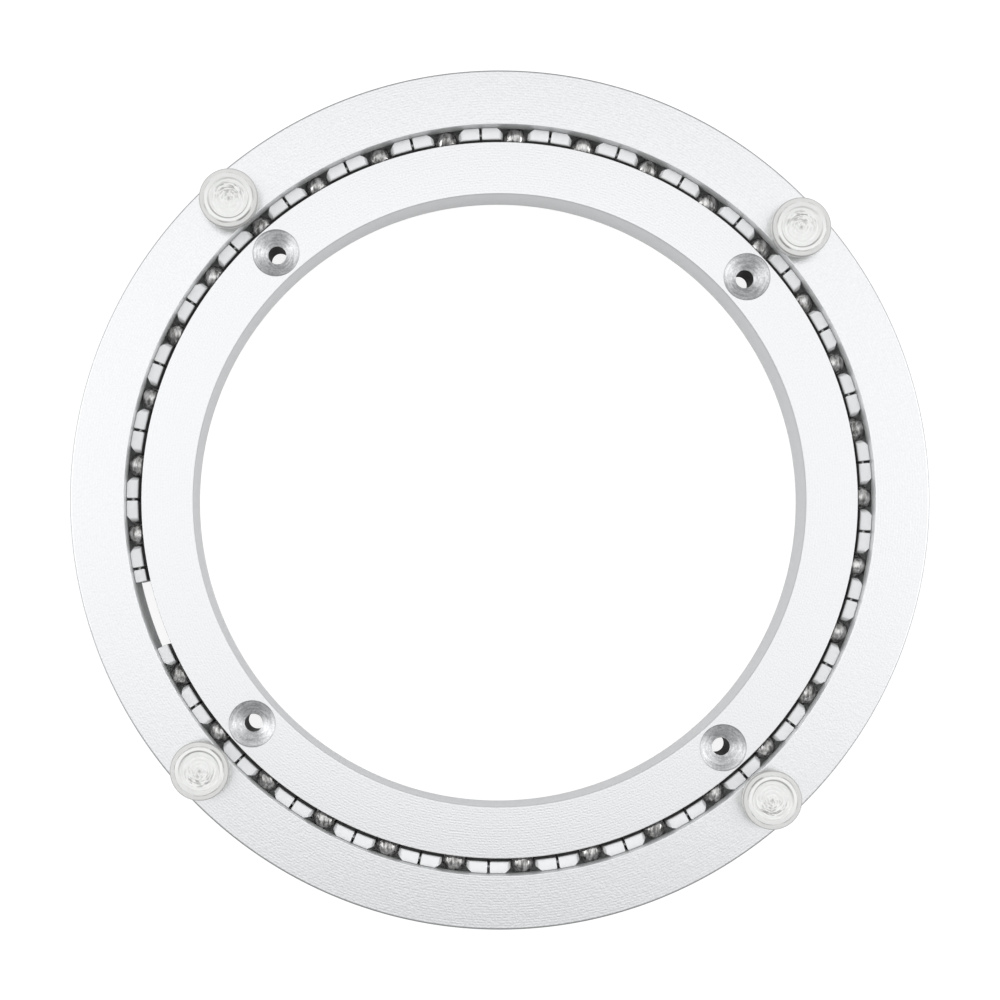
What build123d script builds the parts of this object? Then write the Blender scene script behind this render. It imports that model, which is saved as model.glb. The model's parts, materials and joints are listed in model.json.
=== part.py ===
"""Lazy susan bearing: two flat turned rings with a ring of caged steel balls between them.

The bearing lies with its feet up, on the inner ring's turntable face. The origin is the centre of
that face, +Z runs along the turning axis towards the feet, and lengths are in millimetres.
"""

import os
from math import cos, degrees, pi, radians, sin

from build123d import *

# Rings
ring_diameter = 200.0
outer_ring_width = 12.6
race_gap = 3.8
ring_offset = 1.0
race_edge_round = 0.2
rim_edge_round = 0.35
inner_edge_round = 0.15

# Balls and their races
ball_diameter = 5.5
ball_count = 32
race_clearance = 0.1
first_ball_angle = 211.5

# Ball cage, a strip bent into an open ring
cage_width = 2.7
cage_wall_clearance = 0.2
cage_back_clearance = 0.3
cage_back_web = 0.5
cage_rise = 2.75
pocket_clearance = 0.2
pocket_mouth_width = 0.8
pocket_mouth_depth = 0.6
corner_cut_length = 1.4
corner_cut_depth = 1.2
slit_width = 0.6
slit_web = 0.5
slit_web_drop = 0.5
strip_gap = 15.8
strip_tail = 2.9

# Screw holes through the inner ring
screw_count = 4
screw_hole_diameter = 4.2
screw_head_diameter = 11.0
screw_head_angle = 120.0
screw_rim_wall = 0.3
screw_bore_wall = 0.7
fastener_start_angle = 45.0

# Feet
foot_count = 4
foot_diameter = 13.6
foot_setback = 6.7
foot_height = 3.0
foot_lip = 0.8
foot_rim_width = 2.2
foot_side_flare = 0.6
foot_dish_depth = 0.6
foot_stem_diameter = 4.1
foot_stem_length = 4.5
foot_stem_lead = 0.4
foot_hole_clearance = 0.05
foot_hole_spare_depth = 0.5

# Heights, from the turntable face up
ball_radius = ball_diameter / 2
pocket_radius = ball_radius + pocket_clearance
ball_level = cage_back_clearance + cage_back_web + pocket_radius
ring_thickness = 2 * ball_level
bearing_height = ring_thickness + ring_offset
cage_top = ball_level + cage_rise
cage_height = cage_top - cage_back_clearance

# Radii, from the rim inwards
inner_ring_width = screw_rim_wall + screw_head_diameter + screw_bore_wall
rim_radius = ring_diameter / 2
outer_bore_radius = rim_radius - outer_ring_width
inner_rim_radius = outer_bore_radius - race_gap
inner_bore_radius = inner_rim_radius - inner_ring_width
ball_circle_radius = outer_bore_radius - race_gap / 2
race_radius = ball_radius + race_clearance
foot_circle_radius = rim_radius - foot_setback
screw_circle_radius = inner_rim_radius - screw_rim_wall - screw_head_diameter / 2
cage_outer_radius = outer_bore_radius - cage_wall_clearance
cage_inner_radius = cage_outer_radius - cage_width

# Strip layout, as angles on the ball circle
ball_pitch = (2 * pi * ball_circle_radius - strip_gap - strip_tail) / ball_count
pitch_angle = degrees(ball_pitch / ball_circle_radius)
slit_angle = degrees(slit_width / ball_circle_radius)
tail_angle = degrees(strip_tail / ball_circle_radius)
strip_start_angle = first_ball_angle - (pitch_angle - slit_angle) / 2
strip_angle = ball_count * pitch_angle - slit_angle / 2 + tail_angle
ball_row_angle = ball_count * pitch_angle

# How far a cutter runs past the surface that it cuts
overcut = 1.0


def on_circle(radius, angle, height):
    """The point at an angle on a level circle about the turning axis."""
    return (radius * cos(radians(angle)), radius * sin(radians(angle)), height)


def upright_plane(angle, origin=(0, 0, 0)):
    """An upright plane whose x runs out at an angle from the turning axis and whose y runs up."""
    return Plane(origin, x_dir=on_circle(1, angle, 0), z_dir=on_circle(1, angle - 90, 0))


os.makedirs("parts", exist_ok=True)


# Outer ring: a flat band with the race in its bore and a blind hole under each foot
with BuildPart() as outer_ring:
    with BuildSketch(Plane.XZ) as outer_section:
        with Locations((outer_bore_radius, ring_offset)):
            Rectangle(outer_ring_width, ring_thickness, align=(Align.MIN, Align.MIN))
        fillet(outer_section.vertices().group_by(Axis.X)[-1], radius=rim_edge_round)
        fillet(outer_section.vertices().group_by(Axis.X)[0], radius=race_edge_round)
        with Locations((ball_circle_radius, ball_level)):
            Circle(race_radius, mode=Mode.SUBTRACT)
    revolve(axis=Axis.Z)
    with Locations((0, 0, bearing_height)):
        with PolarLocations(foot_circle_radius, foot_count, fastener_start_angle):
            Hole(
                foot_stem_diameter / 2 + foot_hole_clearance,
                depth=foot_stem_length + foot_hole_spare_depth,
            )
outer_ring.part.label = "outer_ring"
export_step(outer_ring.part, "parts/outer_ring.step")


# Inner ring: a flat band with the race on its outside and screw holes sunk from the foot side
with BuildPart() as inner_ring:
    with BuildSketch(Plane.XZ) as inner_section:
        with Locations((inner_bore_radius, 0)):
            Rectangle(inner_ring_width, ring_thickness, align=(Align.MIN, Align.MIN))
        fillet(inner_section.vertices(), radius=inner_edge_round)
        with Locations((ball_circle_radius, ball_level)):
            Circle(race_radius, mode=Mode.SUBTRACT)
    revolve(axis=Axis.Z)
    with Locations((0, 0, ring_thickness)):
        with PolarLocations(screw_circle_radius, screw_count, fastener_start_angle):
            CounterSinkHole(
                screw_hole_diameter / 2,
                screw_head_diameter / 2,
                counter_sink_angle=screw_head_angle,
            )
inner_ring.part.label = "inner_ring"
export_step(inner_ring.part, "parts/inner_ring.step")


# Cutter for one ball pocket: a round-bottomed slot with a wider mouth and cut-off outer corners
mouth_half_width = pocket_radius + pocket_mouth_width
corner_cut_run = corner_cut_length * (corner_cut_depth + overcut) / corner_cut_depth
with BuildPart() as pocket_cutter:
    with BuildSketch(Plane.YZ.offset(cage_inner_radius - overcut)):
        with Locations((0, ball_level)):
            Circle(pocket_radius)
            Polygon(
                (-pocket_radius, 0),
                (pocket_radius, 0),
                (pocket_radius, cage_rise - pocket_mouth_depth),
                (mouth_half_width, cage_rise),
                (mouth_half_width, cage_rise + overcut),
                (-mouth_half_width, cage_rise + overcut),
                (-mouth_half_width, cage_rise),
                (-pocket_radius, cage_rise - pocket_mouth_depth),
                align=None,
            )
    extrude(amount=cage_width + 2 * overcut)
    with BuildSketch(Plane.XY.offset(cage_back_clearance + cage_back_web)):
        with Locations((cage_outer_radius, 0)):
            Polygon(
                (-corner_cut_depth, -pocket_radius),
                (overcut, -pocket_radius - corner_cut_run),
                (overcut, pocket_radius + corner_cut_run),
                (-corner_cut_depth, pocket_radius),
                align=None,
            )
    extrude(amount=cage_height)


# Ball cage: the strip, its ball pockets, and a slit beside each pocket that lets it bend
with BuildPart() as ball_cage:
    with BuildSketch(upright_plane(strip_start_angle)):
        with Locations((cage_inner_radius, cage_back_clearance)):
            Rectangle(cage_width, cage_height, align=(Align.MIN, Align.MIN))
    revolve(axis=Axis.Z, revolution_arc=strip_angle)
    with PolarLocations(0, ball_count, first_ball_angle, ball_row_angle):
        add(pocket_cutter.part, mode=Mode.SUBTRACT)
    slit_depth = cage_height - cage_back_web
    notch_depth = (cage_width - slit_web) / 2
    slit_middle_radius = cage_inner_radius + cage_width / 2
    with Locations((0, 0, cage_top + overcut)):
        with PolarLocations(0, ball_count, first_ball_angle + pitch_angle / 2, ball_row_angle):
            for side in (-1, 1):
                with Locations((slit_middle_radius + side * (slit_web + notch_depth + overcut) / 2, 0, 0)):
                    Box(
                        notch_depth + overcut,
                        slit_width,
                        slit_depth + overcut,
                        align=(Align.CENTER, Align.CENTER, Align.MAX),
                        mode=Mode.SUBTRACT,
                    )
            with Locations((slit_middle_radius, 0, 0)):
                Box(
                    cage_width + overcut,
                    slit_width,
                    slit_web_drop + overcut,
                    align=(Align.CENTER, Align.CENTER, Align.MAX),
                    mode=Mode.SUBTRACT,
                )
ball_cage.part.label = "ball_cage"
export_step(ball_cage.part, "parts/ball_cage.step")


# Balls, one in each pocket
for number in range(ball_count):
    ball_angle = first_ball_angle + number * pitch_angle
    with BuildPart() as ball:
        with Locations(on_circle(ball_circle_radius, ball_angle, ball_level)):
            Sphere(ball_radius)
    ball_name = f"ball_{number + 1:02d}"
    ball.part.label = ball_name
    export_step(ball.part, f"parts/{ball_name}.step")


# Feet: a flared pad with a dished top, and a stem that plugs into the outer ring
foot_radius = foot_diameter / 2
foot_base_radius = foot_radius - foot_side_flare
foot_dish_radius = foot_radius - foot_rim_width
stem_radius = foot_stem_diameter / 2
for number in range(foot_count):
    foot_angle = fastener_start_angle + number * 360 / foot_count
    foot_seat = on_circle(foot_circle_radius, foot_angle, bearing_height)
    with BuildPart() as foot:
        with BuildSketch(upright_plane(foot_angle, foot_seat)):
            with BuildLine():
                Polyline(
                    (0, foot_height - foot_dish_depth),
                    (0, -foot_stem_length),
                    (stem_radius - foot_stem_lead, -foot_stem_length),
                    (stem_radius, foot_stem_lead - foot_stem_length),
                    (stem_radius, 0),
                    (foot_base_radius, 0),
                    (foot_radius, foot_height - foot_lip),
                    (foot_radius, foot_height),
                    (foot_dish_radius, foot_height),
                )
                TangentArc(
                    (0, foot_height - foot_dish_depth),
                    (foot_dish_radius, foot_height),
                    tangent=(1, 0),
                )
            make_face()
        revolve(axis=Axis(foot_seat, (0, 0, 1)))
    foot_name = f"rubber_foot_{number + 1}"
    foot.part.label = foot_name
    export_step(foot.part, f"parts/{foot_name}.step")
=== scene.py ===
"""Looks of a lazy susan bearing: turned aluminium rings, caged steel balls and clear soft feet."""
import json
from math import acos, atan2, cos, hypot, radians, sin, sqrt, tan, tau

import bpy
from mathutils import Matrix, Vector

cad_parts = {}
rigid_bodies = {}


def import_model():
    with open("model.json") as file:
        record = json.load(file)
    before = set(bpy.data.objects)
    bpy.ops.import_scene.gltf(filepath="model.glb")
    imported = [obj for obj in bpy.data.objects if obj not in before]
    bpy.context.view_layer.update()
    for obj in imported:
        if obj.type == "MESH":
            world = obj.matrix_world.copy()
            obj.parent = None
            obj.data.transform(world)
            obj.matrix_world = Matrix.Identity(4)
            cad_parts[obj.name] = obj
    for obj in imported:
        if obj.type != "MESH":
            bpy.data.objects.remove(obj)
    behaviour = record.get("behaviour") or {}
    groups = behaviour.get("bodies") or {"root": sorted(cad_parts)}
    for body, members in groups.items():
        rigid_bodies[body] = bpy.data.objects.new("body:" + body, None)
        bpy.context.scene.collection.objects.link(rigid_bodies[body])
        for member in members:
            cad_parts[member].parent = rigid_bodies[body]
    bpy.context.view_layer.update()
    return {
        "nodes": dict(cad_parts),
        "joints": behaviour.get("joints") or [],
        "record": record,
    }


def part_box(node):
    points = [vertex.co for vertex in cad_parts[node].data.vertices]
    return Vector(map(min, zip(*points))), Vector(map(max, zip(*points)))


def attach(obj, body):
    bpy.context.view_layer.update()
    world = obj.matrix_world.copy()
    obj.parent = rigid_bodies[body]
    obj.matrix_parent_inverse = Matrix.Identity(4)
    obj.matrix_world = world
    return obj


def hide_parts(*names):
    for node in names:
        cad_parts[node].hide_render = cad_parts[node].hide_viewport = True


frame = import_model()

scene = bpy.context.scene
scene.view_settings.view_transform = "Standard"

MM = 0.001

# Sizes that the solids already have, in metres
outer_low, outer_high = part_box("outer_ring")
inner_low, inner_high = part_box("inner_ring")
cage_low, cage_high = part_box("ball_cage")
foot_low, foot_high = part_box("rubber_foot_1")
ball_low, ball_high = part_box("ball_01")
joint_place = {joint["name"]: Vector(joint["pos_m"]) for joint in frame["joints"]}
mounts = {mount["name"]: mount for mount in frame["record"]["mounts"]}
ball_names = sorted(name.removesuffix("_spin") for name in joint_place if name.endswith("_spin"))
foot_names = sorted(name for name in frame["nodes"] if name.startswith("rubber_foot_"))
screw_sizes = mounts["turntable_screws"]["dims"]

first_ball = joint_place["ball_01_spin"]
second_ball = joint_place["ball_02_spin"]
BALL_COUNT = len(ball_names)
BALL_LEVEL = first_ball.z
BALL_RADIUS = (ball_high.z - ball_low.z) / 2
BALL_CIRCLE = hypot(first_ball.x, first_ball.y)
FIRST_BALL_ANGLE = atan2(first_ball.y, first_ball.x)
PITCH_ANGLE = (atan2(second_ball.y, second_ball.x) - FIRST_BALL_ANGLE) % tau
BALL_PITCH = PITCH_ANGLE * BALL_CIRCLE

RIM_RADIUS = outer_high.x
INNER_RIM = inner_high.x
OUTER_BORE = 2 * BALL_CIRCLE - INNER_RIM
SCREW_CIRCLE = screw_sizes["pcd_mm"] * MM / 2
INNER_WIDTH = 12.0 * MM
INNER_BORE = INNER_RIM - INNER_WIDTH
SCREW_RADIUS = screw_sizes["hole_r_mm"] * MM
SCREW_COUNT = screw_sizes["count"]
FOOT_CIRCLE = hypot(foot_low.x + foot_high.x, foot_low.y + foot_high.y) / 2
FASTENER_ANGLE = radians(45)

# Ring edges and races
RACE_CLEARANCE = 0.1 * MM
RACE_RADIUS = BALL_RADIUS + RACE_CLEARANCE
RIM_ROUND = 0.55 * MM
RACE_EDGE_ROUND = 0.2 * MM
INNER_ROUND = 0.08 * MM
ROUND_BRACE = 0.06 * MM
SINK_RADIUS = 5.5 * MM
SINK_HALF_ANGLE = radians(60)
OVERCUT = 1 * MM
RING_SEGMENTS = 480
HOLE_SEGMENTS = 96

# Cage strip
CAGE_WIDTH = 2.7 * MM
CAGE_WALL_CLEARANCE = 0.06 * MM
CAGE_OUTER = OUTER_BORE - CAGE_WALL_CLEARANCE
CAGE_INNER = CAGE_OUTER - CAGE_WIDTH
CAGE_BACK = cage_low.z
CAGE_TOP = cage_high.z
CAGE_HEIGHT = CAGE_TOP - CAGE_BACK
CAGE_WEB = 0.5 * MM
POCKET_CLEARANCE = 0.2 * MM
POCKET_RADIUS = BALL_RADIUS + POCKET_CLEARANCE
POCKET_EDGE_ROUND = 0.08 * MM
POCKET_DEGREES = range(8, 90, 9)
JUST_INSIDE = 0.999
SHOULDER_WIDTH = 0.85 * MM
SHOULDER_DEPTH = 0.75 * MM
SHOULDER_FLARE = 1.7
CORNER_CUT_LENGTH = 1.35 * MM
CORNER_CUT_DEPTH = 1.15 * MM
CORNER_CUT_FLOOR = 1.1 * MM
CORNER_CUT_STEP = 0.05 * MM
CORNER_CUT_ROUND = 0.1 * MM
CORNER_CUT_LAND = 0.02 * MM
CORNER_CUT_LEAST = 0.01
BLOCK_ROUND = 0.22 * MM
BLOCK_INNER_ROUND = 0.42 * MM
BLOCK_OUTER_ROUND = 0.1 * MM
SLIT_WIDTH = 0.6 * MM
SLIT_WEB = 0.5 * MM
SLIT_WEB_DROP = 1.0 * MM
TAIL_LENGTH = 2.9 * MM

# Foot pads
FOOT_SEAT_GAP = 0.02 * MM
FOOT_SEAT = outer_high.z + FOOT_SEAT_GAP
FOOT_TOP = foot_high.z
FOOT_RADIUS = (foot_high.x - foot_low.x) / 2
FOOT_BASE_RADIUS = FOOT_RADIUS - 0.4 * MM
FOOT_RIM_RADIUS = FOOT_RADIUS - 1.1 * MM
FOOT_RIM_DROP = 0.3 * MM
FOOT_RIM_SLOPE = 0.1 * MM
FOOT_DISH_RADIUS = FOOT_RADIUS - 2.15 * MM
FOOT_DISH_DEPTH = 0.7 * MM
FOOT_DISH_STEP = 0.35 * MM
FOOT_DISH_SLOPE = 0.2 * MM
FOOT_DISH_RINGS = 40
FOOT_LIP = 0.9 * MM
FOOT_BASE_ROUND = 0.15 * MM
FOOT_FLARE_ROUND = 0.5 * MM
FOOT_LIP_ROUND = 0.2 * MM
FOOT_STEP_ROUND = 0.05 * MM
FOOT_RIM_ROUND = 0.08 * MM
FOOT_DISH_ROUND = 0.12 * MM
FOOT_RIPPLE = 0.05 * MM
FOOT_RIPPLE_PITCH = 0.95 * MM
FOOT_NUB_RADIUS = 0.7 * MM
FOOT_NUB_RISE = 0.3 * MM
FOOT_SEGMENTS = 128

# Marks that the cutters left, and the width of the painted shade line along each sink's edge
TURN_PITCH = 0.62 * MM
WALL_LINE_PITCH = 0.35 * MM
RACE_LINE_PITCH = 0.3 * MM
DRILL_LINE_PITCH = 0.5 * MM
SINK_STREAK_PITCH = 0.42 * MM
SINK_STREAK_BREAKS = 1.6
SINK_EDGE_SHADE = 0.3 * MM

# How far below its face a wall's painted shade is darkest, and how far down it fades out
WALL_SHADE_START, WALL_SHADE_DEPTH = 0.1 * MM, 1.2 * MM

# Bands where a painted shade changes, from low to high or from the middle out
RACE_SHADE_FADE = CAGE_TOP - 1.6 * MM, CAGE_TOP - 0.6 * MM
NYLON_TOP_BAND = CAGE_TOP - 0.5 * MM, CAGE_TOP
POCKET_WALL_BAND = CAGE_INNER + 0.1 * MM, CAGE_INNER + 0.6 * MM
FOOT_NUB_BAND = 0.15 * MM, 0.55 * MM
FOOT_RIPPLE_BAND = FOOT_DISH_RADIUS - 1.3 * MM, FOOT_DISH_RADIUS - 0.5 * MM
FOOT_DISH_BAND = FOOT_DISH_RADIUS - 0.4 * MM, FOOT_DISH_RADIUS
FOOT_SKIRT_BAND = FOOT_RIM_RADIUS - 0.2 * MM, FOOT_RIM_RADIUS + 0.3 * MM
FOOT_BRIM_BAND = FOOT_RADIUS - 0.45 * MM, FOOT_RADIUS - 0.05 * MM
FOOT_TOP_BAND = FOOT_TOP - 0.8 * MM, FOOT_TOP - 0.5 * MM

# Painted shade lines on the feet, and the streaks that break them and mark the ripples
FOOT_DISH_LINE = 0.34 * MM
FOOT_RIM_LINE = 0.36 * MM
FOOT_STREAK_PITCH = 0.36 * MM
FOOT_STREAK_BREAKS = 1.9

# Colours, each from its darker end to its brighter end, where some darker ends are painted shade
FACE_DULL, FACE_BRIGHT = (0.755, 0.758, 0.762), (0.845, 0.848, 0.852)
RIM_DULL, RIM_BRIGHT = (0.36, 0.364, 0.37), (0.50, 0.504, 0.51)
BORE_DULL, BORE_BRIGHT = (0.50, 0.505, 0.51), (0.70, 0.705, 0.71)
OUTER_RACE_DULL, OUTER_RACE_BRIGHT = (0.48, 0.49, 0.49), (0.86, 0.87, 0.87)
# The inner race is near black: painted shade for the dark gap between the cage and the inner ring
INNER_RACE_SHADED_DARK, INNER_RACE_SHADED_LIGHT = (0.06, 0.06, 0.06), (0.12, 0.12, 0.12)
SINK_DULL, SINK_BRIGHT = (0.40, 0.403, 0.408), (0.76, 0.763, 0.768)
# The drilled walls are near black: painted shade for the dark inside of the screw holes
DRILL_SHADED_DARK, DRILL_SHADED_LIGHT = (0.008, 0.008, 0.008), (0.035, 0.035, 0.035)
STEEL_OILY, STEEL_BARE = (0.15, 0.146, 0.142), (0.70, 0.69, 0.68)
# The nylon's shaded end is painted shade on the cage's sides below its top
NYLON_SHADED, NYLON_WHITE = (0.10, 0.10, 0.098), (0.88, 0.885, 0.89)
FOOT_SHADED, FOOT_CLEAR = (0.364, 0.36, 0.348), (0.976, 0.98, 0.958)

# How far the plastics bend light, and how much of it passes into a foot
NYLON_IOR = 1.53
FOOT_IOR = 1.46
FOOT_CLARITY = 0.15

# Grain, in patches to a metre, and how deep each surface's relief is
FACE_GRAIN, FACE_RELIEF = 2400, 0.054 * MM
WALL_GRAIN, WALL_RELIEF = 1800, 0.0008 * MM
RACE_GRAIN, RACE_RELIEF = 1600, 0.0008 * MM
SINK_GRAIN, SINK_RELIEF = 2200, 0.04 * MM
DRILL_GRAIN = 1500
OIL_GRAIN, STEEL_GRAIN, STEEL_RELIEF = 1150, 900, 0.23 * MM
OIL_DRAWN_OUT = (1.0, 0.35, 1.0)
NYLON_CLOUD, NYLON_GRAIN, NYLON_RELIEF = 900, 3000, 0.008 * MM
FOOT_CLOUD, FOOT_RELIEF = 500, 0.03 * MM

# Most fine noise lies between these, and holes or feet in other quarters take other streaks
NOISE_LOW, NOISE_HIGH = 0.3, 0.7
QUARTER_STEPS = (3.1, 7.3, 0)

# An edge that turns more than this stays sharp
SHARP_ANGLE = radians(28)

# A face is flat above the first of these and a wall below the second, where 1 is level
FLAT_ENOUGH = 0.97
STEEP_ENOUGH = 0.2

# Floor, where the glow is what shows it as white
FLOOR_REACH = 3.0
FLOOR_DROP = 0.05 * MM
FLOOR_CLOTH = (0.22, 0.22, 0.22, 1)
FLOOR_GLOW = 0.87
FLOOR_BOUNCE = (0.8, 0.8, 0.8, 1)
FLOOR_MIRRORED = 0.4

# Room light, and the bands of direction where it fades or grows
ROOM_LIGHT = 1.30
ROOM_COLOUR = (0.985, 0.99, 1, 1)
FRONT_BAND, FRONT_LIGHT = (-0.55, -0.02), 0.32
BACK_BAND, BACK_LIGHT = (0.14, 0.95), 0.36
SIDE_BAND, SIDE_GLOW = (0.6, 0.95), 2.2
LEFT_BAND, LEFT_GLOW = (-0.5, 0.3), 1.06

# Camera, looking straight down, with its lens in millimetres
CAMERA_LENS = 37.515
CAMERA_SHIFT_X, CAMERA_SHIFT_Y = 0.06, 0.08
CAMERA_ROLL = radians(2.9)
CAMERA_PLACE = (-13.9 * MM, -18.6 * MM, 250.6 * MM)
CAMERA_NEAREST = 1 * MM


def feed(tree, socket, value):
    """Gives a socket a value, or links it to another node's output."""
    if isinstance(value, bpy.types.NodeSocket):
        tree.links.new(value, socket)
    else:
        socket.default_value = value


def add_node(tree, kind, inputs=None, **settings):
    """Adds a node with its settings, and feeds the inputs that are named or numbered."""
    node = tree.nodes.new(kind)
    for name, value in settings.items():
        setattr(node, name, value)
    for name, value in (inputs or {}).items():
        feed(tree, node.inputs[name], value)
    return node


def result(tree, kind, inputs=None, **settings):
    """Adds a node in the same way, and returns its first output."""
    return add_node(tree, kind, inputs, **settings).outputs[0]


def calc(tree, operation, *values):
    """The result of one Math node."""
    return result(tree, "ShaderNodeMath", dict(enumerate(values)), operation=operation)


def vector_calc(tree, operation, *values):
    """The result of one Vector Math node, a number for a length or a dot product."""
    node = add_node(tree, "ShaderNodeVectorMath", dict(enumerate(values)), operation=operation)
    return node.outputs["Value" if operation in ("LENGTH", "DOT_PRODUCT") else "Vector"]


def remap(tree, value, low, high, new_low, new_high, easing="LINEAR"):
    """A number moved from one range to another and held inside it."""
    node = add_node(
        tree,
        "ShaderNodeMapRange",
        {"Value": value, "From Min": low, "From Max": high, "To Min": new_low, "To Max": new_high},
        interpolation_type=easing,
    )
    return node.outputs["Result"]


def noise(tree, place, scale, detail=2.0, roughness=0.5):
    """Fine cloudy variation, from 0 to 1."""
    node = add_node(
        tree,
        "ShaderNodeTexNoise",
        {"Vector": place, "Scale": scale, "Detail": detail, "Roughness": roughness},
    )
    return node.outputs["Fac"]


def new_finish(name):
    """A new material; returns it with its tree, its surface shader and the place on the piece."""
    material = bpy.data.materials.new(name)
    material.use_nodes = True
    tree = material.node_tree
    place = add_node(tree, "ShaderNodeTexCoord").outputs["Object"]
    return material, tree, tree.nodes["Principled BSDF"], place


def colour(tree, shader, share, first, second):
    """Colours a surface between two colours."""
    mixed = add_node(tree, "ShaderNodeMix", {"Factor": share}, data_type="RGBA")
    feed(tree, mixed.inputs[6], (*first, 1))
    feed(tree, mixed.inputs[7], (*second, 1))
    feed(tree, shader.inputs["Base Color"], mixed.outputs[2])


def roughen(tree, shader, grain, smoothest, roughest):
    """Varies a surface's roughness with its grain."""
    rough = remap(tree, grain, NOISE_LOW, NOISE_HIGH, smoothest, roughest)
    feed(tree, shader.inputs["Roughness"], rough)


def relief(tree, shader, height, depth):
    """Raises a surface by a pattern of heights, in metres."""
    raised = result(tree, "ShaderNodeBump", {"Height": height, "Distance": depth, "Strength": 1.0})
    feed(tree, shader.inputs["Normal"], raised)


def parts_of(tree, vector):
    """The X, Y and Z of a vector."""
    return add_node(tree, "ShaderNodeSeparateXYZ", {"Vector": vector}).outputs


def level_part(tree, place):
    """A place's way from the turning axis, without its height."""
    return vector_calc(tree, "MULTIPLY", place, (1, 1, 0))


def axis_distance(tree, place):
    """How far a place is from the turning axis."""
    return vector_calc(tree, "LENGTH", level_part(tree, place))


def wave(tree, value, pitch):
    """Even waves along a length, from -1 to 1."""
    return calc(tree, "SINE", calc(tree, "MULTIPLY", value, tau / pitch))


def strongest(tree, first, *others):
    """The largest of several numbers."""
    for other in others:
        first = calc(tree, "MAXIMUM", first, other)
    return first


def product(tree, first, *others):
    """Several numbers multiplied together."""
    for other in others:
        first = calc(tree, "MULTIPLY", first, other)
    return first


def from_centre(tree, place, circle):
    """The way from the middle of the nearest of four holes or feet, its length, and which it is."""
    folded = vector_calc(tree, "ABSOLUTE", level_part(tree, place))
    centre = (circle * cos(FASTENER_ANGLE), circle * sin(FASTENER_ANGLE), 0)
    offset = vector_calc(tree, "SUBTRACT", folded, centre)
    quarter = vector_calc(tree, "DOT_PRODUCT", vector_calc(tree, "SIGN", place), QUARTER_STEPS)
    return offset, vector_calc(tree, "LENGTH", offset), quarter


def streaks(tree, offset, distance, quarter, pitch, breaks):
    """Uneven streaks that run round a centre, from 0 to 1, shorter for more breaks."""
    heading = parts_of(tree, vector_calc(tree, "NORMALIZE", offset))
    unrolled = result(
        tree,
        "ShaderNodeCombineXYZ",
        {
            "X": calc(tree, "MULTIPLY", heading["X"], breaks),
            "Y": calc(tree, "MULTIPLY", heading["Y"], breaks),
            "Z": calc(tree, "MULTIPLY_ADD", distance, 1 / pitch, quarter),
        },
    )
    return noise(tree, unrolled, 1.0, 2, 0.6)


def line_at(tree, distance, radius, width):
    """A soft circular line round a centre, 1 along its middle."""
    off_line = calc(tree, "ABSOLUTE", calc(tree, "SUBTRACT", distance, radius))
    return remap(tree, off_line, 0.0, width, 1.0, 0.0, "SMOOTHSTEP")


def faced_aluminium():
    """Flat faces cut on a lathe: fine rings about the turning axis, with a frosted grain."""
    material, tree, shader, place = new_finish("faced_aluminium")
    groove = wave(tree, axis_distance(tree, place), TURN_PITCH)
    grain = noise(tree, place, FACE_GRAIN, 3)
    frost = remap(tree, grain, NOISE_LOW, NOISE_HIGH, 0.1, 0.9)
    shade = calc(tree, "MULTIPLY_ADD", groove, 0.1, frost)
    colour(tree, shader, shade, FACE_DULL, FACE_BRIGHT)
    shader.inputs["Metallic"].default_value = 1
    roughen(tree, shader, grain, 0.30, 0.40)
    shader.inputs["Anisotropic"].default_value = 0.4
    turning = result(tree, "ShaderNodeTangent", direction_type="RADIAL", axis="Z")
    feed(tree, shader.inputs["Tangent"], turning)
    relief(tree, shader, calc(tree, "MULTIPLY_ADD", groove, 0.055, grain), FACE_RELIEF)
    return material


def walled_aluminium(name, dull, bright, face):
    """Upright walls: duller metal with fine lines round the ring, with painted shade darkest just
    below its face.
    """
    material, tree, shader, place = new_finish(name)
    height = parts_of(tree, place)["Z"]
    line = wave(tree, height, WALL_LINE_PITCH)
    grain = noise(tree, place, WALL_GRAIN, 3)
    # Painted shade: the wall is darkest just below its face and clear of it lower down
    unshaded = remap(tree, height, face - WALL_SHADE_DEPTH, face - WALL_SHADE_START, 0.6, 0.05)
    shade = calc(tree, "MULTIPLY_ADD", line, 0.08, calc(tree, "MULTIPLY_ADD", grain, 0.5, unshaded))
    colour(tree, shader, shade, dull, bright)
    shader.inputs["Metallic"].default_value = 1
    roughen(tree, shader, grain, 0.36, 0.46)
    relief(tree, shader, calc(tree, "MULTIPLY_ADD", grain, 2.0, line), WALL_RELIEF)
    return material


def raced_aluminium(name, dull, bright):
    """The matt walls that face the balls, with painted shade darkest just below the cage's top, fading
    out up to the face and further down.
    """
    material, tree, shader, place = new_finish(name)
    height = parts_of(tree, place)["Z"]
    line = wave(tree, height, RACE_LINE_PITCH)
    grain = noise(tree, place, RACE_GRAIN, 3)
    # Painted shade: none by the face, darkest from just below the cage's top up to it, none again
    # further down
    above = remap(tree, height, CAGE_TOP, outer_high.z, 0.0, 0.8)
    below = remap(tree, height, *RACE_SHADE_FADE, 0.8, 0.0)
    unshaded = calc(tree, "MULTIPLY_ADD", grain, 0.3, strongest(tree, above, below))
    shade = calc(tree, "MULTIPLY_ADD", line, 0.1, unshaded)
    colour(tree, shader, shade, dull, bright)
    shader.inputs["Metallic"].default_value = 0.35
    roughen(tree, shader, grain, 0.50, 0.62)
    relief(tree, shader, calc(tree, "MULTIPLY_ADD", grain, 2.0, line), RACE_RELIEF)
    return material


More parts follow.
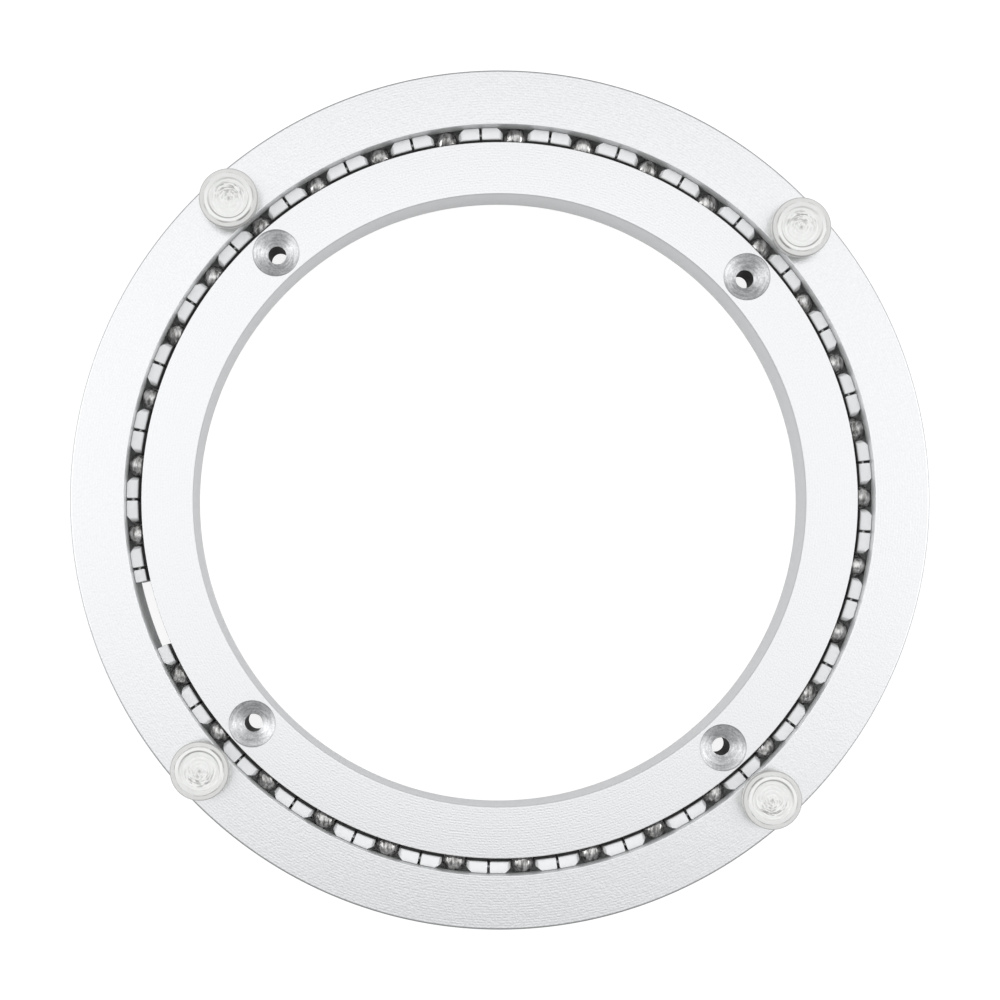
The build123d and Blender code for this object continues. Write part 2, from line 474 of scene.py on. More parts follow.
def sunk_aluminium():
    """The sunk seats of the screw holes, with the uneven marks that their cutter left and a painted
    shade line along their outer edge.
    """
    material, tree, shader, place = new_finish("sunk_aluminium")
    offset, distance, quarter = from_centre(tree, place, SCREW_CIRCLE)
    streak = streaks(tree, offset, distance, quarter, SINK_STREAK_PITCH, SINK_STREAK_BREAKS)
    grain = noise(tree, place, SINK_GRAIN, 3, 0.7)
    mark = calc(tree, "ADD", grain, streak)
    # Painted shade: a dark line along the sink's outer edge
    edge_shade = line_at(tree, distance, SINK_RADIUS, SINK_EDGE_SHADE)
    shade = calc(tree, "SUBTRACT", remap(tree, mark, 0.75, 1.25, 0.0, 1.0), edge_shade)
    colour(tree, shader, shade, SINK_DULL, SINK_BRIGHT)
    shader.inputs["Metallic"].default_value = 1
    roughen(tree, shader, grain, 0.42, 0.54)
    relief(tree, shader, mark, SINK_RELIEF)
    return material


def drilled_aluminium():
    """The drilled walls of the screw holes, rough, in a near black that is painted shade for the dark
    inside of the holes.
    """
    material, tree, shader, place = new_finish("drilled_aluminium")
    line = wave(tree, parts_of(tree, place)["Z"], DRILL_LINE_PITCH)
    grain = noise(tree, place, DRILL_GRAIN, 3)
    shade = calc(tree, "MULTIPLY_ADD", line, 0.3, grain)
    colour(tree, shader, shade, DRILL_SHADED_DARK, DRILL_SHADED_LIGHT)
    shader.inputs["Specular IOR Level"].default_value = 0.12
    roughen(tree, shader, grain, 0.40, 0.55)
    return material


def ball_steel():
    """Bearing steel under a film of oil, which breaks its shine into drawn-out glints."""
    material, tree, shader, place = new_finish("polished_ball_steel")
    drawn_out = vector_calc(tree, "MULTIPLY", place, OIL_DRAWN_OUT)
    film = remap(tree, noise(tree, drawn_out, OIL_GRAIN, 2, 0.6), 0.36, 0.64, 0.0, 1.0)
    colour(tree, shader, film, STEEL_OILY, STEEL_BARE)
    shader.inputs["Metallic"].default_value = 0.8
    feed(tree, shader.inputs["Roughness"], remap(tree, film, 0.0, 1.0, 0.16, 0.06))
    relief(tree, shader, noise(tree, drawn_out, STEEL_GRAIN, 2), STEEL_RELIEF)
    return material


def cage_nylon():
    """Moulded nylon, white and slightly satin; below its top its sides carry painted shade, lighter on
    the pocket walls and darkest on the inner side.
    """
    material, tree, shader, place = new_finish("white_cage_nylon")
    cloud = noise(tree, place, NYLON_CLOUD, 3)
    height = parts_of(tree, place)["Z"]
    # Painted shade: only the top stays white; lower down the nylon darkens, less so on the pocket
    # walls
    top = remap(tree, height, *NYLON_TOP_BAND, 0.0, 0.93, "SMOOTHSTEP")
    pocket_wall = remap(tree, axis_distance(tree, place), *POCKET_WALL_BAND, 0.0, 0.5)
    shade = calc(tree, "MULTIPLY_ADD", cloud, 0.14, strongest(tree, top, pocket_wall))
    colour(tree, shader, shade, NYLON_SHADED, NYLON_WHITE)
    roughen(tree, shader, cloud, 0.34, 0.46)
    shader.inputs["IOR"].default_value = NYLON_IOR
    relief(tree, shader, noise(tree, place, NYLON_GRAIN, 2), NYLON_RELIEF)
    return material


def foot_plastic():
    """Soft milky plastic with real ripples, and painted shade in lines, bands and arcs where its
    steps, edges and ripples bend the light, more on its far side and towards the race.
    """
    material, tree, shader, place = new_finish("milky_foot_plastic")
    offset, distance, quarter = from_centre(tree, place, FOOT_CIRCLE)
    away = calc(tree, "DIVIDE", parts_of(tree, offset)["Y"], FOOT_RADIUS)
    height = parts_of(tree, place)["Z"]
    streak = streaks(tree, offset, distance, quarter, FOOT_STREAK_PITCH, FOOT_STREAK_BREAKS)
    to_race = (-cos(FASTENER_ANGLE), -sin(FASTENER_ANGLE), 0)
    inward = vector_calc(tree, "DOT_PRODUCT", vector_calc(tree, "NORMALIZE", offset), to_race)
    # Painted shade: lines at the dish and rim, bands over the skirt and brim, arcs towards the race
    # and ripples in the dish, more on the far side
    dish_line = line_at(tree, distance, FOOT_DISH_RADIUS, FOOT_DISH_LINE)
    dish_line = calc(tree, "MULTIPLY", dish_line, remap(tree, away, -0.55, 0.35, 1.0, 0.12))
    rim_line = line_at(tree, distance, FOOT_RIM_RADIUS, FOOT_RIM_LINE)
    broken = remap(tree, streak, 0.40, 0.60, 0.12, 0.75)
    race_shade = remap(tree, inward, 0.90, 0.97, 0.0, 1.0)
    rim_line = calc(tree, "MULTIPLY", rim_line, strongest(tree, broken, race_shade))
    skirt = remap(tree, distance, *FOOT_SKIRT_BAND, 0.0, 0.32)
    far_rim = remap(tree, distance, *FOOT_DISH_BAND, 0.0, 0.2)
    far_rim = calc(tree, "MULTIPLY", far_rim, remap(tree, away, -0.1, 0.5, 0.0, 1.0))
    brim = remap(tree, distance, *FOOT_BRIM_BAND, 0.0, 0.95)
    brim = calc(tree, "MULTIPLY", brim, remap(tree, height, *FOOT_TOP_BAND, 0.0, 1.0))
    nub = remap(tree, distance, *FOOT_NUB_BAND, 0.7, 0.0)
    in_dish = remap(tree, distance, *FOOT_RIPPLE_BAND, 1.0, 0.0)
    far_side = remap(tree, away, -0.15, 0.4, 0.1, 1.0)
    ripple = product(tree, remap(tree, streak, 0.43, 0.60, 0.0, 0.9), in_dish, far_side)
    shade = strongest(tree, dish_line, rim_line, skirt, far_rim, brim, nub, ripple)
    colour(tree, shader, shade, FOOT_CLEAR, FOOT_SHADED)
    cloud = noise(tree, place, FOOT_CLOUD, 3)
    roughen(tree, shader, cloud, 0.12, 0.24)
    shader.inputs["Transmission Weight"].default_value = FOOT_CLARITY
    shader.inputs["IOR"].default_value = FOOT_IOR
    relief(tree, shader, calc(tree, "MULTIPLY_ADD", streak, 2.0, cloud), FOOT_RELIEF)
    return material


def shape_tree(name, **inputs):
    """An empty geometry tree with named inputs; returns it with its input sockets."""
    tree = bpy.data.node_groups.new(name, "GeometryNodeTree")
    for label, kind in inputs.items():
        tree.interface.new_socket(label, in_out="INPUT", socket_type="NodeSocket" + kind)
    tree.interface.new_socket("shape", in_out="OUTPUT", socket_type="NodeSocketGeometry")
    return tree, add_node(tree, "NodeGroupInput").outputs


def finished(tree, shape, finish, where=True):
    """Gives a finish to the faces of a shape, or to some of them."""
    return result(
        tree,
        "GeometryNodeSetMaterial",
        {"Geometry": shape, "Selection": where, "Material": finish},
    )


def end_tree(tree, shape, finish=None):
    """Ends a geometry tree: plain geometry, sharp where it turns hard, with one finish if given."""
    plain = result(tree, "GeometryNodeRealizeInstances", {"Geometry": shape})
    smooth = result(tree, "GeometryNodeSetShadeSmooth", {"Geometry": plain})
    angle = result(tree, "GeometryNodeInputMeshEdgeAngle")
    gentle = result(tree, "FunctionNodeCompare", {0: angle, 1: SHARP_ANGLE}, operation="LESS_THAN")
    edged = result(
        tree,
        "GeometryNodeSetShadeSmooth",
        {"Geometry": smooth, "Shade Smooth": gentle},
        domain="EDGE",
    )
    if finish is not None:
        edged = finished(tree, edged, finish)
    add_node(tree, "NodeGroupOutput", {"shape": edged})


def bake(tree, name, **values):
    """Runs a geometry tree with its inputs set, and keeps the result as a plain mesh object."""
    piece = bpy.data.objects.new(name, bpy.data.meshes.new(name))
    scene.collection.objects.link(piece)
    modifier = piece.modifiers.new("shape", "NODES")
    modifier.node_group = tree
    for item in tree.interface.items_tree:
        if item.in_out == "INPUT":
            modifier[item.identifier] = values[item.name]
    evaluated = piece.evaluated_get(bpy.context.evaluated_depsgraph_get())
    mesh = bpy.data.meshes.new_from_object(evaluated)
    piece.modifiers.clear()
    piece.data = mesh
    mesh.name = name
    return piece


def pattern_object(name, points, edges, faces):
    """A mesh that a geometry tree repeats or sweeps; it is taken away once the pieces are baked."""
    mesh = bpy.data.meshes.new(name)
    mesh.from_pydata(points, edges, faces)
    mesh.validate()
    made = bpy.data.objects.new(name, mesh)
    made["pattern"] = True
    scene.collection.objects.link(made)
    return made


def rounded_section(corners, steps=6, brace=0.0):
    """A closed outline whose corners, each (x, y, radius) in order, are rounded off.

    A brace adds a point that far from each end of a round, which keeps the flat beside it flat.
    """
    outline = []
    for index, (x, y, radius) in enumerate(corners):
        here = Vector((x, y))
        back = (Vector(corners[index - 1][:2]) - here).normalized()
        ahead = (Vector(corners[(index + 1) % len(corners)][:2]) - here).normalized()
        if radius <= 0:
            outline.append(here)
            continue
        half = back.angle(ahead) / 2
        reach = radius / sin(half)
        centre = here + (back + ahead).normalized() * reach
        start = (here + back * radius * cos(half) / sin(half)) - centre
        end = (here + ahead * radius * cos(half) / sin(half)) - centre
        sweep = start.angle_signed(end)
        if brace > 0:
            outline.append(centre + start + back * brace)
        for step in range(steps + 1):
            turn = Matrix.Rotation(-sweep * step / steps, 2)
            outline.append(centre + turn @ start)
        if brace > 0:
            outline.append(centre + end + ahead * brace)
    return outline


def race_arc(side, steps=24):
    """The ball groove's outline, from its low edge to its high edge; side is -1 in the inner ring."""
    reach = acos((OUTER_BORE - BALL_CIRCLE) / RACE_RADIUS)
    angles = [-reach + 2 * reach * step / steps for step in range(steps + 1)]
    return [
        (BALL_CIRCLE + side * RACE_RADIUS * cos(angle), BALL_LEVEL + RACE_RADIUS * sin(angle), 0)
        for angle in angles
    ]


def outer_section():
    """Half section of the outer ring, anticlockwise from its low inside edge."""
    low, high = outer_low.z, outer_high.z
    corners = [
        (OUTER_BORE, low, RACE_EDGE_ROUND),
        (RIM_RADIUS, low, RIM_ROUND),
        (RIM_RADIUS, high, RIM_ROUND),
        (OUTER_BORE, high, RACE_EDGE_ROUND),
        *reversed(race_arc(1)),
    ]
    return rounded_section(corners, brace=ROUND_BRACE)


def inner_section():
    """Half section of the inner ring, anticlockwise from its low inside edge."""
    low, high = inner_low.z, inner_high.z
    corners = [
        (INNER_BORE, low, INNER_ROUND),
        (INNER_RIM, low, INNER_ROUND),
        *race_arc(-1),
        (INNER_RIM, high, INNER_ROUND),
        (INNER_BORE, high, INNER_ROUND),
    ]
    return rounded_section(corners, brace=ROUND_BRACE)


def lathe_object(name, outline, segments):
    """A closed solid turned from an outline that starts and ends on the axis, lowest first."""
    points = [(0, 0, outline[0][1])]
    for radius, height in outline[1:-1]:
        for step in range(segments):
            angle = tau * step / segments
            points.append((radius * cos(angle), radius * sin(angle), height))
    points.append((0, 0, outline[-1][1]))
    faces = []
    last = len(points) - 1
    top_row = last - segments
    for step in range(segments):
        after = (step + 1) % segments
        faces.append((0, 1 + after, 1 + step))
        faces.append((last, top_row + step, top_row + after))
        for row in range(len(outline) - 3):
            low = 1 + row * segments
            high = low + segments
            faces.append((low + step, low + after, high + after, high + step))
    return pattern_object(name, points, [], faces)


def section_object(name, outline, ring_radius):
    """A ring's half section laid flat for sweeping, measured from the ring's middle line."""
    points = [(point.x - ring_radius, -point.y, 0) for point in reversed(outline)]
    count = len(points)
    edges = [(index, (index + 1) % count) for index in range(count)]
    return pattern_object(name, points, edges, [])


def shape_of(tree, pattern):
    """The shape of a pattern object."""
    return add_node(tree, "GeometryNodeObjectInfo", {"Object": pattern}).outputs["Geometry"]


def copies_at(tree, points, pattern):
    """A copy of a pattern at each point."""
    copied = {"Points": points, "Instance": shape_of(tree, pattern)}
    return result(tree, "GeometryNodeInstanceOnPoints", copied)


def copies_round(tree, pattern, count, circle, first_angle):
    """Copies of a pattern at even places on a circle about the turning axis."""
    places = result(tree, "GeometryNodeMeshCircle", {"Vertices": count, "Radius": circle})
    copies = copies_at(tree, places, pattern)
    turn = result(tree, "ShaderNodeCombineXYZ", {"Z": first_angle})
    return result(tree, "GeometryNodeTransform", {"Geometry": copies, "Rotation": turn})


def how_level(tree):
    """How far a face turns up or down: 1 when it is level, 0 when it stands upright."""
    normal = result(tree, "GeometryNodeInputNormal")
    return calc(tree, "ABSOLUTE", parts_of(tree, normal)["Z"])


def drill_row(tree, given):
    """A circle of cutters, with one finish for their seats and one for their upright walls."""
    drills = copies_round(
        tree,
        given["drill"],
        given["hole_count"],
        given["hole_circle"],
        given["hole_angle"],
    )
    drills = result(tree, "GeometryNodeRealizeInstances", {"Geometry": drills})
    drills = finished(tree, drills, given["seat_finish"])
    steep = calc(tree, "LESS_THAN", how_level(tree), STEEP_ENOUGH)
    return finished(tree, drills, given["drilled_finish"], steep)


def turned_ring_tree(name, drilled=False):
    """Sweeps a ring's section round the turning axis, and drills its circle of holes if it has one."""
    holes = {
        "drill": "Object",
        "hole_count": "Int",
        "hole_circle": "Float",
        "hole_angle": "Float",
        "seat_finish": "Material",
        "drilled_finish": "Material",
    }
    tree, given = shape_tree(
        name,
        section="Object",
        ring_radius="Float",
        segments="Int",
        race_side="Float",
        face_finish="Material",
        wall_finish="Material",
        race_finish="Material",
        **(holes if drilled else {}),
    )
    path = result(
        tree,
        "GeometryNodeCurvePrimitiveCircle",
        {"Resolution": given["segments"], "Radius": given["ring_radius"]},
    )
    outline = result(tree, "GeometryNodeMeshToCurve", {"Mesh": shape_of(tree, given["section"])})
    ring = result(tree, "GeometryNodeCurveToMesh", {"Curve": path, "Profile Curve": outline})
    ring = finished(tree, ring, given["wall_finish"])
    across = axis_distance(tree, result(tree, "GeometryNodeInputPosition"))
    past_middle = calc(tree, "SUBTRACT", across, given["ring_radius"])
    past_middle = calc(tree, "MULTIPLY", past_middle, given["race_side"])
    by_race = calc(tree, "GREATER_THAN", past_middle, 0.0)
    ring = finished(tree, ring, given["race_finish"], by_race)
    level = calc(tree, "GREATER_THAN", how_level(tree), FLAT_ENOUGH)
    ring = finished(tree, ring, given["face_finish"], level)
    if drilled:
        ring = result(
            tree,
            "GeometryNodeMeshBoolean",
            {"Mesh 1": ring, "Mesh 2": drill_row(tree, given)},
            operation="DIFFERENCE",
            solver="EXACT",
        )
    end_tree(tree, ring)
    return tree


def bent_strip_tree():
    """Repeats one straight cell of the cage along a line, adds its tail, and bends the strip round."""
    tree, given = shape_tree(
        "bent_strip",
        cell="Object",
        tail="Object",
        cell_count="Int",
        cell_pitch="Float",
        bend_radius="Float",
        inner_radius="Float",
        first_angle="Float",
        finish="Material",
    )
    step = result(tree, "ShaderNodeCombineXYZ", {"X": given["cell_pitch"]})
    row = result(tree, "GeometryNodeMeshLine", {"Count": given["cell_count"], "Offset": step})
    cells = copies_at(tree, row, given["cell"])
    last_cell = vector_calc(tree, "SCALE", step)
    feed(tree, last_cell.node.inputs["Scale"], calc(tree, "SUBTRACT", given["cell_count"], 1.0))
    tail = shape_of(tree, given["tail"])
    tail = result(tree, "GeometryNodeTransform", {"Geometry": tail, "Translation": last_cell})
    strip = add_node(tree, "GeometryNodeJoinGeometry")
    for stretch in (cells, tail):
        tree.links.new(stretch, strip.inputs[0])
    strip = result(tree, "GeometryNodeRealizeInstances", {"Geometry": strip.outputs[0]})
    straight = parts_of(tree, result(tree, "GeometryNodeInputPosition"))
    turned = calc(tree, "DIVIDE", straight["X"], given["bend_radius"])
    angle = calc(tree, "ADD", turned, given["first_angle"])
    radius = calc(tree, "ADD", straight["Y"], given["inner_radius"])
    bent = result(
        tree,
        "ShaderNodeCombineXYZ",
        {
            "X": calc(tree, "MULTIPLY", radius, calc(tree, "COSINE", angle)),
            "Y": calc(tree, "MULTIPLY", radius, calc(tree, "SINE", angle)),
            "Z": straight["Z"],
        },
    )
    strip = result(tree, "GeometryNodeSetPosition", {"Geometry": strip, "Position": bent})
    strip = result(tree, "GeometryNodeFlipFaces", {"Mesh": strip})
    end_tree(tree, strip, given["finish"])
    return tree


def pads_tree():
    """Sets one foot on each of a circle of places."""
    tree, given = shape_tree(
        "foot_pads",
        pad="Object",
        count="Int",
        circle="Float",
        first_angle="Float",
        finish="Material",
    )
    pads = copies_round(tree, given["pad"], given["count"], given["circle"], given["first_angle"])
    end_tree(tree, pads, given["finish"])
    return tree


def edge_inset(height, radius):
    """How far a round along a block's top edge draws it in, at a height above the cage's back."""
    rise = max(height - CAGE_HEIGHT + radius, 0)
    return radius - sqrt(max(radius**2 - rise**2, 0))


def pocket_edge(height):
    """Half the width of the ball pocket at a height above the cage's back."""
    above = height + CAGE_BACK - BALL_LEVEL
    if above < 0:
        return sqrt(max(POCKET_RADIUS**2 - above**2, 0))
    rise = max(height - CAGE_HEIGHT + SHOULDER_DEPTH, 0) / SHOULDER_DEPTH
    return POCKET_RADIUS + SHOULDER_WIDTH * rise**SHOULDER_FLARE


def block_outline(height, high_edge, brace):
    """Plan of one cage block at a height, from the pocket to a place along the strip.

    Its outer ball-side corner is cut off, and a brace draws all its edges in by a little more.
    """
    low_edge = pocket_edge(height) + brace
    end = high_edge - edge_inset(height, BLOCK_ROUND) - brace
    inside = edge_inset(height, BLOCK_INNER_ROUND) + brace
    outside = CAGE_WIDTH - edge_inset(height, BLOCK_OUTER_ROUND) - brace
    cut_end = POCKET_RADIUS + CORNER_CUT_LENGTH
    cut_start = max(low_edge + CORNER_CUT_LAND, POCKET_RADIUS)
    cut_share = min(max((height - CORNER_CUT_FLOOR) / CORNER_CUT_STEP, CORNER_CUT_LEAST), 1)
    cut_side = outside - cut_share * CORNER_CUT_DEPTH * (cut_end - cut_start) / CORNER_CUT_LENGTH
    corners = [
        (low_edge, inside, POCKET_EDGE_ROUND),
        (end, inside, BLOCK_ROUND),
        (end, outside, BLOCK_ROUND),
        (cut_end, outside, CORNER_CUT_ROUND),
        (cut_start, cut_side, 0),
        (low_edge, cut_side, 0),
    ]
    return rounded_section(corners, steps=3)


def quarter_turn(steps):
    """Even angles from level to upright."""
    return [radians(90 * step / steps) for step in range(steps + 1)]


def block_levels():
    """Heights up one cage block, close together where it curves."""
    seat = BALL_LEVEL - CAGE_BACK
    shoulder = CAGE_HEIGHT - SHOULDER_DEPTH
    climb = [seat - POCKET_RADIUS * cos(radians(angle)) * JUST_INSIDE for angle in POCKET_DEGREES]
    crown = [shoulder + SHOULDER_DEPTH * sin(angle) for angle in quarter_turn(8)]
    cut = [CORNER_CUT_FLOOR, CORNER_CUT_FLOOR + CORNER_CUT_STEP]
    return sorted([*climb, *cut, seat, *crown])


def stacked(loops):
    """Points and faces of a solid built from level outlines, lowest first."""
    count = len(loops[0])
    points = [point for loop in loops for point in loop]
    faces = [tuple(reversed(range(count)))]
    for row in range(len(loops) - 1):
        low = row * count
        for step in range(count):
            after = (step + 1) % count
            faces.append((low + step, low + after, low + count + after, low + count + step))
    top = (len(loops) - 1) * count
    faces.append(tuple(range(top, top + count)))
    return points, faces


def joined(parts):
    """Several (points, faces) solids as one."""
    points, faces = [], []
    for part_points, part_faces in parts:
        base = len(points)
        points.extend(part_points)
        faces.extend(tuple(base + index for index in face) for face in part_faces)
    return points, faces


def block(end, side):
    """One cage block from the pocket to a place along the strip; side is -1 before the ball."""
    plans = [(height, 0.0) for height in block_levels()] + [(CAGE_HEIGHT, ROUND_BRACE)]
    loops = []
    for height, brace in plans:
        outline = block_outline(height, end, brace)
        loops.append([(side * point.x, point.y, CAGE_BACK + height) for point in outline])
    points, faces = stacked(loops)
    if side < 0:
        faces = [tuple(reversed(face)) for face in faces]
    return points, faces


def bar(u_low, u_high, w_low, w_high, z_low, z_high):
    """A plain straight bar of the strip: u runs along the strip, w across it and z up."""
    corners = [(u_low, w_low), (u_high, w_low), (u_high, w_high), (u_low, w_high)]
    return stacked([[(u, w, z) for u, w in corners] for z in (z_low, z_high)])


def cage_cell():
    """One straight cell: a block on either side of the ball, the back web, and the next slit's web."""
    end = (BALL_PITCH - SLIT_WIDTH) / 2
    middle = CAGE_WIDTH / 2
    web_top = CAGE_TOP - SLIT_WEB_DROP
    parts = [
        block(end, -1),
        block(end, 1),
        bar(-end, end + SLIT_WIDTH, 0, CAGE_WIDTH, CAGE_BACK, CAGE_BACK + CAGE_WEB),
        bar(
            end - BLOCK_ROUND,
            end + SLIT_WIDTH + BLOCK_ROUND,
            middle - SLIT_WEB / 2,
            middle + SLIT_WEB / 2,
            CAGE_BACK,
            web_top,
        ),
    ]
    points, faces = joined(parts)
    return pattern_object("cage_cell", points, [], faces)


def cage_tail():
    """The plain block that ends the strip, past the last slit."""
    start = (BALL_PITCH + SLIT_WIDTH) / 2
    end = start + TAIL_LENGTH
    crown = [CAGE_HEIGHT - BLOCK_ROUND * (1 - sin(angle)) for angle in quarter_turn(4)]
    plans = [(height, edge_inset(height, BLOCK_ROUND)) for height in [0, *crown]]
    plans.append((CAGE_HEIGHT, BLOCK_ROUND + ROUND_BRACE))
    loops = []
    for height, inset in plans:
        corners = [
            (start + inset, inset, BLOCK_ROUND),
            (end - inset, inset, BLOCK_ROUND),
            (end - inset, CAGE_WIDTH - inset, BLOCK_ROUND),
            (start + inset, CAGE_WIDTH - inset, BLOCK_ROUND),
        ]
        outline = rounded_section(corners, steps=3)
        loops.append([(point.x, point.y, CAGE_BACK + height) for point in outline])
    points, faces = stacked(loops)
    return pattern_object("cage_tail", points, [], faces)


def screw_drill():
    """Cutter for one sunk screw hole, with its axis upright."""
    face = inner_high.z
    sink_depth = (SINK_RADIUS - SCREW_RADIUS) / tan(SINK_HALF_ANGLE)
    outline = [
        (0, inner_low.z - OVERCUT),
        (SCREW_RADIUS, inner_low.z - OVERCUT),
        (SCREW_RADIUS, face - sink_depth),
        (SINK_RADIUS + OVERCUT * tan(SINK_HALF_ANGLE), face + OVERCUT),
        (0, face + OVERCUT),
    ]
    return lathe_object("screw_drill", outline, HOLE_SEGMENTS)


def foot_pad():
    """One foot: a flared pad whose dished top has a moulding nub and faint ripples round it."""
    corners = [
        (0, FOOT_SEAT, 0),
        (FOOT_BASE_RADIUS, FOOT_SEAT, FOOT_BASE_ROUND),
        (FOOT_RADIUS, FOOT_TOP - FOOT_LIP, FOOT_FLARE_ROUND),
        (FOOT_RADIUS, FOOT_TOP - FOOT_RIM_DROP, FOOT_LIP_ROUND),
        (FOOT_RIM_RADIUS, FOOT_TOP - FOOT_RIM_DROP, FOOT_STEP_ROUND),
        (FOOT_RIM_RADIUS - FOOT_RIM_SLOPE, FOOT_TOP, FOOT_RIM_ROUND),
        (FOOT_DISH_RADIUS, FOOT_TOP, FOOT_DISH_ROUND),
    ]
    for ring in range(FOOT_DISH_RINGS + 1):
        radius = (FOOT_DISH_RADIUS - FOOT_DISH_SLOPE) * (1 - ring / FOOT_DISH_RINGS)
        share = radius / FOOT_DISH_RADIUS
        height = FOOT_TOP - FOOT_DISH_STEP - (FOOT_DISH_DEPTH - FOOT_DISH_STEP) * (1 - share**2)
        height += FOOT_RIPPLE * cos(tau * radius / FOOT_RIPPLE_PITCH)
        height += FOOT_NUB_RISE * max(1 - (radius / FOOT_NUB_RADIUS) ** 2, 0)
        corners.append((radius, height, 0))
    outline = [tuple(point) for point in rounded_section(corners, steps=4)]
    return lathe_object("foot_pad", outline, FOOT_SEGMENTS)


def pale_floor():
    """A plain pale floor that shows as white and keeps a soft shadow."""
    material = bpy.data.materials.new("pale_floor")
    material.use_nodes = True
    tree = material.node_tree
    tree.nodes.clear()
    path = add_node(tree, "ShaderNodeLightPath").outputs
    mirrored = calc(tree, "MULTIPLY", path["Is Glossy Ray"], FLOOR_MIRRORED)
    seen = strongest(tree, path["Is Camera Ray"], path["Is Transmission Ray"], mirrored)
    cloth = result(tree, "ShaderNodeBsdfDiffuse", {"Color": FLOOR_CLOTH})
    glow = result(tree, "ShaderNodeEmission", {"Color": (1, 1, 1, 1), "Strength": FLOOR_GLOW})
    lit = result(tree, "ShaderNodeAddShader", {0: cloth, 1: glow})
    bounce = result(tree, "ShaderNodeBsdfDiffuse", {"Color": FLOOR_BOUNCE})
    shown = result(tree, "ShaderNodeMixShader", {0: seen, 1: bounce, 2: lit})
    add_node(tree, "ShaderNodeOutputMaterial", {"Surface": shown})
    return material


def studio_world():
    """A pale room lit along a broad band from left to right, dimmer in front and behind."""
    world = bpy.data.worlds.new("studio_room")
    scene.world = world
    world.use_nodes = True
    tree = world.node_tree
    tree.nodes.clear()
    direction = add_node(tree, "ShaderNodeTexCoord").outputs["Generated"]
    facing = parts_of(tree, direction)
    front = remap(tree, facing["Y"], *FRONT_BAND, FRONT_LIGHT, 1.0, "SMOOTHSTEP")
    behind = remap(tree, facing["Y"], *BACK_BAND, 1.0, BACK_LIGHT, "SMOOTHSTEP")
    sideways = calc(tree, "ABSOLUTE", facing["X"])
    sides = remap(tree, sideways, *SIDE_BAND, 1.0, SIDE_GLOW, "SMOOTHSTEP")
    left = remap(tree, facing["X"], *LEFT_BAND, LEFT_GLOW, 1.0)
    room = product(tree, front, behind, sides, left, ROOM_LIGHT)
    path = add_node(tree, "ShaderNodeLightPath").outputs
    strength = strongest(tree, room, path["Is Camera Ray"])
    light = result(tree, "ShaderNodeBackground", {"Color": ROOM_COLOUR, "Strength": strength})
    add_node(tree, "ShaderNodeOutputWorld", {"Surface": light})


def stand_in(piece, body, slot, *nodes):
    """Puts a finished piece in the place of solids, on the body that carries them."""
    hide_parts(*nodes)
    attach(piece, body)


# Finishes of the rings
face_metal = faced_aluminium()
rim_metal = walled_aluminium("rim_aluminium", RIM_DULL, RIM_BRIGHT, outer_high.z)
bore_metal = walled_aluminium("bored_aluminium", BORE_DULL, BORE_BRIGHT, inner_high.z)
outer_race_metal = raced_aluminium("outer_race_aluminium", OUTER_RACE_DULL, OUTER_RACE_BRIGHT)
inner_race_metal = raced_aluminium("inner_race_aluminium", INNER_RACE_SHADED_DARK, INNER_RACE_SHADED_LIGHT)

# Pieces, each baked from its tree
outer_middle = (RIM_RADIUS + OUTER_BORE) / 2
inner_middle = (INNER_RIM + INNER_BORE) / 2
outer_ring = bake(
    turned_ring_tree("outer_ring_shape"),
    "turned_outer_ring",
    section=section_object("outer_section", outer_section(), outer_middle),
    ring_radius=outer_middle,
    segments=RING_SEGMENTS,
    race_side=-1.0,
    face_finish=face_metal,
    wall_finish=rim_metal,
    race_finish=outer_race_metal,
)
inner_ring = bake(
    turned_ring_tree("inner_ring_shape", drilled=True),
    "turned_inner_ring",
    section=section_object("inner_section", inner_section(), inner_middle),
    ring_radius=inner_middle,
    segments=RING_SEGMENTS,
    race_side=1.0,
    face_finish=face_metal,
    wall_finish=bore_metal,
    race_finish=inner_race_metal,
    drill=screw_drill(),
    hole_count=SCREW_COUNT,
    hole_circle=SCREW_CIRCLE,
    hole_angle=FASTENER_ANGLE,
    seat_finish=sunk_aluminium(),
    drilled_finish=drilled_aluminium(),
)
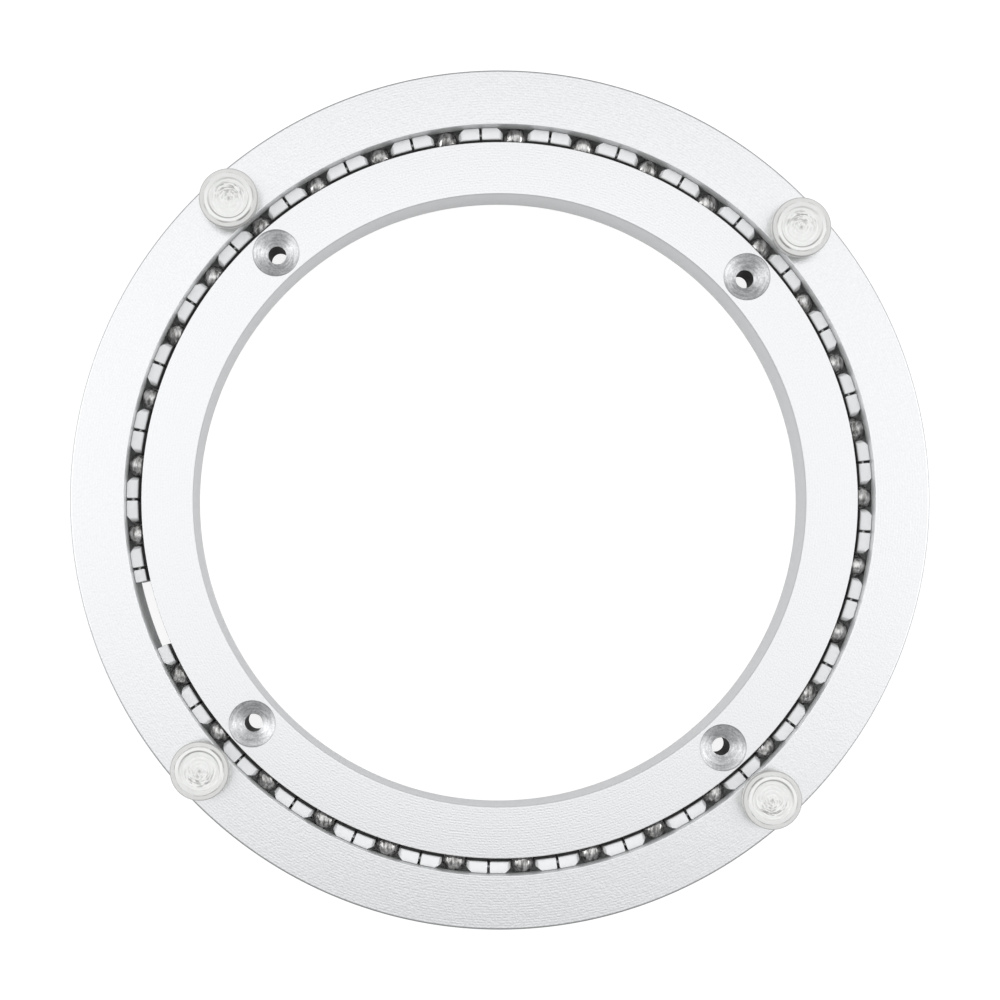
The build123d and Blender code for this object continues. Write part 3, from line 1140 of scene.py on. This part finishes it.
cage = bake(
    bent_strip_tree(),
    "nylon_ball_cage",
    cell=cage_cell(),
    tail=cage_tail(),
    cell_count=BALL_COUNT,
    cell_pitch=BALL_PITCH,
    bend_radius=BALL_CIRCLE,
    inner_radius=CAGE_INNER,
    first_angle=FIRST_BALL_ANGLE,
    finish=cage_nylon(),
)
feet = bake(
    pads_tree(),
    "clear_feet",
    pad=foot_pad(),
    count=len(foot_names),
    circle=FOOT_CIRCLE,
    first_angle=FASTENER_ANGLE,
    finish=foot_plastic(),
)
for pattern in [made for made in scene.objects if made.get("pattern")]:
    bpy.data.objects.remove(pattern)

# The body that each piece rides on, a slot name and the solids that it stands in for
stand_in(outer_ring, "outer_ring", "turned_aluminium", "outer_ring")
stand_in(inner_ring, "inner_ring", "turned_aluminium", "inner_ring")
stand_in(cage, "ball_cage", "white_nylon", "ball_cage")
stand_in(feet, "outer_ring", "clear_soft_plastic", *foot_names)

# Balls, which keep their solids
steel = ball_steel()
for name in ball_names:
    ball_mesh = frame["nodes"][name].data
    ball_mesh.materials.clear()
    ball_mesh.materials.append(steel)

# Floor, room and camera
floor_mesh = bpy.data.meshes.new("floor")
floor_corners = [(-1, -1), (1, -1), (1, 1), (-1, 1)]
floor_points = [(x * FLOOR_REACH, y * FLOOR_REACH, -FLOOR_DROP) for x, y in floor_corners]
floor_mesh.from_pydata(floor_points, [], [(0, 1, 2, 3)])
floor_mesh.materials.append(pale_floor())
floor = bpy.data.objects.new("floor", floor_mesh)
scene.collection.objects.link(floor)

studio_world()

camera_data = bpy.data.cameras.new("camera")
camera_data.lens = CAMERA_LENS
camera_data.shift_x = CAMERA_SHIFT_X
camera_data.shift_y = CAMERA_SHIFT_Y
camera_data.clip_start = CAMERA_NEAREST
camera = bpy.data.objects.new("camera", camera_data)
camera.rotation_euler = (0, 0, CAMERA_ROLL)
camera.location = Matrix.Rotation(CAMERA_ROLL, 3, "Z") @ Vector(CAMERA_PLACE)
scene.collection.objects.link(camera)
scene.camera = camera

# Scene brought up to date
bpy.context.view_layer.update()
